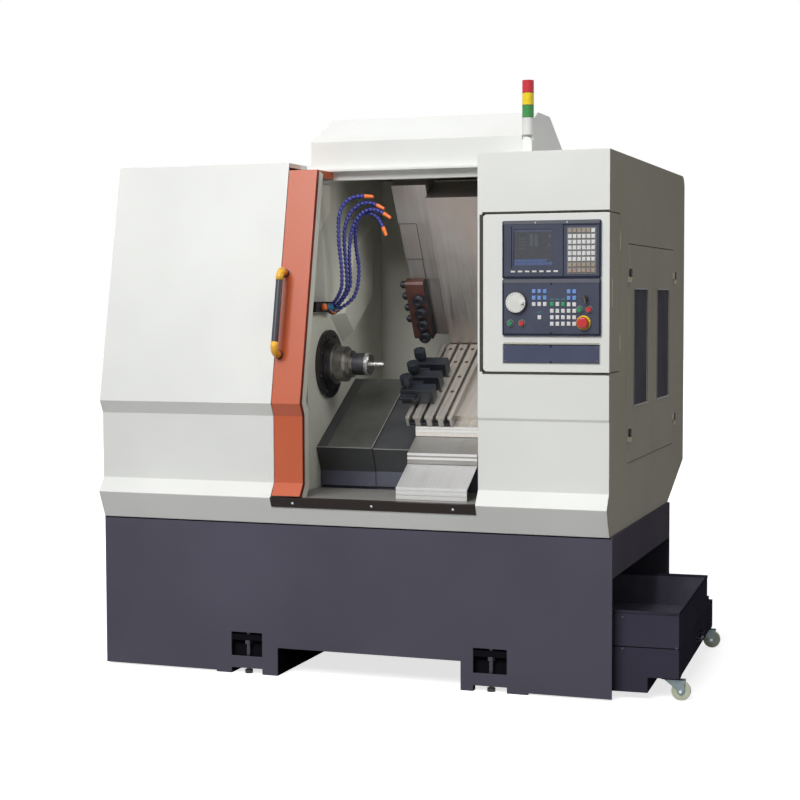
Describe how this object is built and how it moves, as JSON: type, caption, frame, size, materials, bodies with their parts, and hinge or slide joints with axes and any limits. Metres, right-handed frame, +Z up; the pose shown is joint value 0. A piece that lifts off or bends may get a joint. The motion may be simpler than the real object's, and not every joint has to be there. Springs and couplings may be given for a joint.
{
  "type": "cnc turning lathe",
  "caption": "Slant-bed turning lathe in a sheet-metal enclosure with a sliding door, operator panel, driven tools, signal tower and chip cart.",
  "frame": {"origin": "middle of the whole machine with its cart, on the floor", "axes": "+X along the spindle from the headstock to the operator panel, +Y to the back, +Z up"},
  "size_m": [2.1072, 1.415, 2.0549],
  "materials": {
    "white_paint": "satin",
    "base_paint": "satin",
    "orange_paint": "satin",
    "inner_paint": "satin",
    "dark_strip": "satin",
    "cover_paint": "satin",
    "cast": "machined",
    "steel": "brushed",
    "dark_steel": "ground",
    "bright_steel": "turned",
    "black_steel": "blackened",
    "head_steel": "satin",
    "zinc": "zinc plated",
    "window": "clear",
    "hose_plastic": "satin",
    "nozzle_plastic": "satin",
    "handle_plastic": "satin",
    "unit_plastic": "satin",
    "green_plastic": "gloss",
    "red_plastic": "gloss",
    "black_plastic": "satin",
    "lens_plastic": "gloss",
    "tyre_plastic": "satin",
    "cart_paint": "satin",
    "cabinet_paint": "satin",
    "aluminium_plate": "satin"
  },
  "bodies": {
    "machine": {"base": "base_paint", "levelling_screws": "zinc", "front_skirt": "white_paint", "left_cover": "white_paint", "pillar": "white_paint", "rear_housing": "white_paint", "hood": "white_paint", "sill_strip": "dark_strip", "headstock_wall": "inner_paint", "bearing_cap": "dark_steel", "bed": "cast", "way_cover_fixed": "cover_paint", "coolant_manifold": "black_plastic", "hose_1": "hose_plastic", "hose_2": "hose_plastic", "hose_3": "hose_plastic", "hose_4": "hose_plastic", "hose_nozzles": "nozzle_plastic"},
    "door": {"door_panel": "white_paint", "door_stile": "orange_paint", "door_window": "window", "door_handle": "handle_plastic"},
    "spindle": {"spindle": "dark_steel", "workpiece": "bright_steel"},
    "saddle": {"saddle": "steel", "way_cover_leaf": "cover_paint"},
    "cover_middle": {"cover_middle": "steel"},
    "cross": {"cross_table": "steel", "column": "steel", "tool_posts": "black_steel"},
    "head_cover_middle": {"head_cover_middle": "steel"},
    "head": {"power_head": "head_steel", "head_cover_lower": "steel"},
    "panel": {"panel_box": "white_paint", "display_unit": "unit_plastic", "operator_unit": "unit_plastic", "blank_plate": "unit_plastic"},
    "handwheel": {"handwheel": "black_plastic"},
    "stop_button": {"stop_button": "red_plastic"},
    "selector": {"selector": "black_plastic"},
    "signal_tower": {"signal_tower": "lens_plastic"},
    "cabinet_door_front": {"cabinet_door_front": "cabinet_paint"},
    "cabinet_door_rear": {"cabinet_door_rear": "cabinet_paint"},
    "cart": {"cart_tank": "cart_paint", "chip_tray": "cart_paint", "pump_cover": "cart_paint"},
    "caster_fork_front": {"caster_fork_front": "zinc"},
    "caster_fork_rear": {"caster_fork_rear": "zinc"},
    "driven_tool_1": {"driven_tool_1": "black_steel"},
    "driven_tool_2": {"driven_tool_2": "black_steel"},
    "driven_tool_3": {"driven_tool_3": "black_steel"},
    "driven_tool_4": {"driven_tool_4": "black_steel"},
    "button_start": {"button_start": "green_plastic"},
    "button_halt": {"button_halt": "red_plastic"},
    "button_power_on": {"button_power_on": "green_plastic"},
    "button_power_off": {"button_power_off": "red_plastic"},
    "caster_wheel_front_right": {"caster_wheel_front_right": "tyre_plastic"},
    "caster_wheel_front_left": {"caster_wheel_front_left": "tyre_plastic"},
    "caster_wheel_rear_right": {"caster_wheel_rear_right": "tyre_plastic"},
    "caster_wheel_rear_left": {"caster_wheel_rear_left": "tyre_plastic"}
  },
  "joints": [
    {"name": "door_slide", "type": "slide", "parent": "machine", "child": "door", "axis": [1, 0, 0], "range_m": [0, 0.62]},
    {"name": "spindle_turn", "type": "hinge", "parent": "machine", "child": "spindle", "pos_m": [-0.34725, -0.2525, 1.081], "axis": [1, 0, 0], "continuous": true},
    {"name": "saddle_slide", "type": "slide", "parent": "machine", "child": "saddle", "axis": [1, 0, 0], "range_m": [-0.09, 0.035]},
    {"name": "cross_slide", "type": "slide", "parent": "saddle", "child": "cross", "axis": [0, 0.866, 0.5], "range_m": [-0.1, 0.03]},
    {"name": "cover_middle_slide", "type": "slide", "parent": "saddle", "child": "cover_middle", "axis": [0, 0.866, 0.5], "range_m": [-0.05, 0.015]},
    {"name": "head_slide", "type": "slide", "parent": "cross", "child": "head", "axis": [0, -0.5, 0.866], "range_m": [-0.1, 0.02]},
    {"name": "head_cover_slide", "type": "slide", "parent": "cross", "child": "head_cover_middle", "axis": [0, -0.5, 0.866], "range_m": [-0.05, 0.01]},
    {"name": "driven_tool_1_turn", "type": "hinge", "parent": "head", "child": "driven_tool_1", "pos_m": [-0.10225, -0.00875, 1.24482], "axis": [1, 0, 0], "continuous": true},
    {"name": "driven_tool_2_turn", "type": "hinge", "parent": "head", "child": "driven_tool_2", "pos_m": [-0.10225, -0.03325, 1.28726], "axis": [1, 0, 0], "continuous": true},
    {"name": "driven_tool_3_turn", "type": "hinge", "parent": "head", "child": "driven_tool_3", "pos_m": [-0.10225, -0.05775, 1.32969], "axis": [1, 0, 0], "continuous": true},
    {"name": "driven_tool_4_turn", "type": "hinge", "parent": "head", "child": "driven_tool_4", "pos_m": [-0.10225, -0.08225, 1.37213], "axis": [1, 0, 0], "continuous": true},
    {"name": "panel_hinge", "type": "hinge", "parent": "machine", "child": "panel", "pos_m": [0.79975, -0.5161, 1.337], "axis": [0, 0, 1], "range_deg": [0, 90]},
    {"name": "handwheel_turn", "type": "hinge", "parent": "panel", "child": "handwheel", "pos_m": [0.49175, -0.6805, 1.306], "axis": [0, -1, 0], "continuous": true},
    {"name": "button_start_press", "type": "slide", "parent": "panel", "child": "button_start", "axis": [0, 1, 0], "range_m": [0, 0.004], "stiffness_N_per_m": 400},
    {"name": "button_halt_press", "type": "slide", "parent": "panel", "child": "button_halt", "axis": [0, 1, 0], "range_m": [0, 0.004], "stiffness_N_per_m": 400},
    {"name": "button_power_on_press", "type": "slide", "parent": "panel", "child": "button_power_on", "axis": [0, 1, 0], "range_m": [0, 0.004], "stiffness_N_per_m": 400},
    {"name": "button_power_off_press", "type": "slide", "parent": "panel", "child": "button_power_off", "axis": [0, 1, 0], "range_m": [0, 0.004], "stiffness_N_per_m": 400},
    {"name": "stop_press", "type": "slide", "parent": "panel", "child": "stop_button", "axis": [0, 1, 0], "range_m": [0, 0.005]},
    {"name": "selector_turn", "type": "hinge", "parent": "panel", "child": "selector", "pos_m": [0.72075, -0.6805, 1.32], "axis": [0, -1, 0], "range_deg": [-45, 45]},
    {"name": "tower_fold", "type": "hinge", "parent": "machine", "child": "signal_tower", "pos_m": [0.47075, -0.4625, 1.848], "axis": [0, 1, 0], "range_deg": [0, 90]},
    {"name": "cabinet_front_hinge", "type": "hinge", "parent": "machine", "child": "cabinet_door_front", "pos_m": [0.80875, -0.3775, 1.13], "axis": [0, 0, 1], "range_deg": [-110, 0]},
    {"name": "cabinet_rear_hinge", "type": "hinge", "parent": "machine", "child": "cabinet_door_rear", "pos_m": [0.80875, 0.4575, 1.13], "axis": [0, 0, 1], "range_deg": [0, 110]},
    {"name": "cart_roll", "type": "slide", "parent": "machine", "child": "cart", "axis": [1, 0, 0], "range_m": [-0.12, 0.4]},
    {"name": "caster_fork_front_swivel", "type": "hinge", "parent": "cart", "child": "caster_fork_front", "pos_m": [0.99012, -0.56776, 0.06], "axis": [0, 0, 1], "continuous": true},
    {"name": "caster_wheel_front_right_roll", "type": "hinge", "parent": "caster_fork_front", "child": "caster_wheel_front_right", "pos_m": [1.02109, -0.56641, 0.0315], "axis": [-0.0436, 0.999, 0], "continuous": true},
    {"name": "caster_wheel_front_left_roll", "type": "hinge", "parent": "cart", "child": "caster_wheel_front_left", "pos_m": [0.50958, -0.58874, 0.0315], "axis": [-0.0436, 0.999, 0], "continuous": true},
    {"name": "caster_fork_rear_swivel", "type": "hinge", "parent": "cart", "child": "caster_fork_rear", "pos_m": [0.95169, 0.3124, 0.06], "axis": [0, 0, 1], "continuous": true},
    {"name": "caster_wheel_rear_right_roll", "type": "hinge", "parent": "caster_fork_rear", "child": "caster_wheel_rear_right", "pos_m": [0.98266, 0.31376, 0.0315], "axis": [-0.0436, 0.999, 0], "continuous": true},
    {"name": "caster_wheel_rear_left_roll", "type": "hinge", "parent": "cart", "child": "caster_wheel_rear_left", "pos_m": [0.47115, 0.29142, 0.0315], "axis": [-0.0436, 0.999, 0], "continuous": true}
  ],
  "couplings": [
    {"joint": "cover_middle_slide", "follows": "cross_slide", "ratio": 0.5},
    {"joint": "head_cover_slide", "follows": "head_slide", "ratio": 0.5},
    {"joint": "driven_tool_2_turn", "follows": "driven_tool_1_turn", "ratio": -1},
    {"joint": "driven_tool_3_turn", "follows": "driven_tool_1_turn", "ratio": 1},
    {"joint": "driven_tool_4_turn", "follows": "driven_tool_1_turn", "ratio": -1}
  ]
}
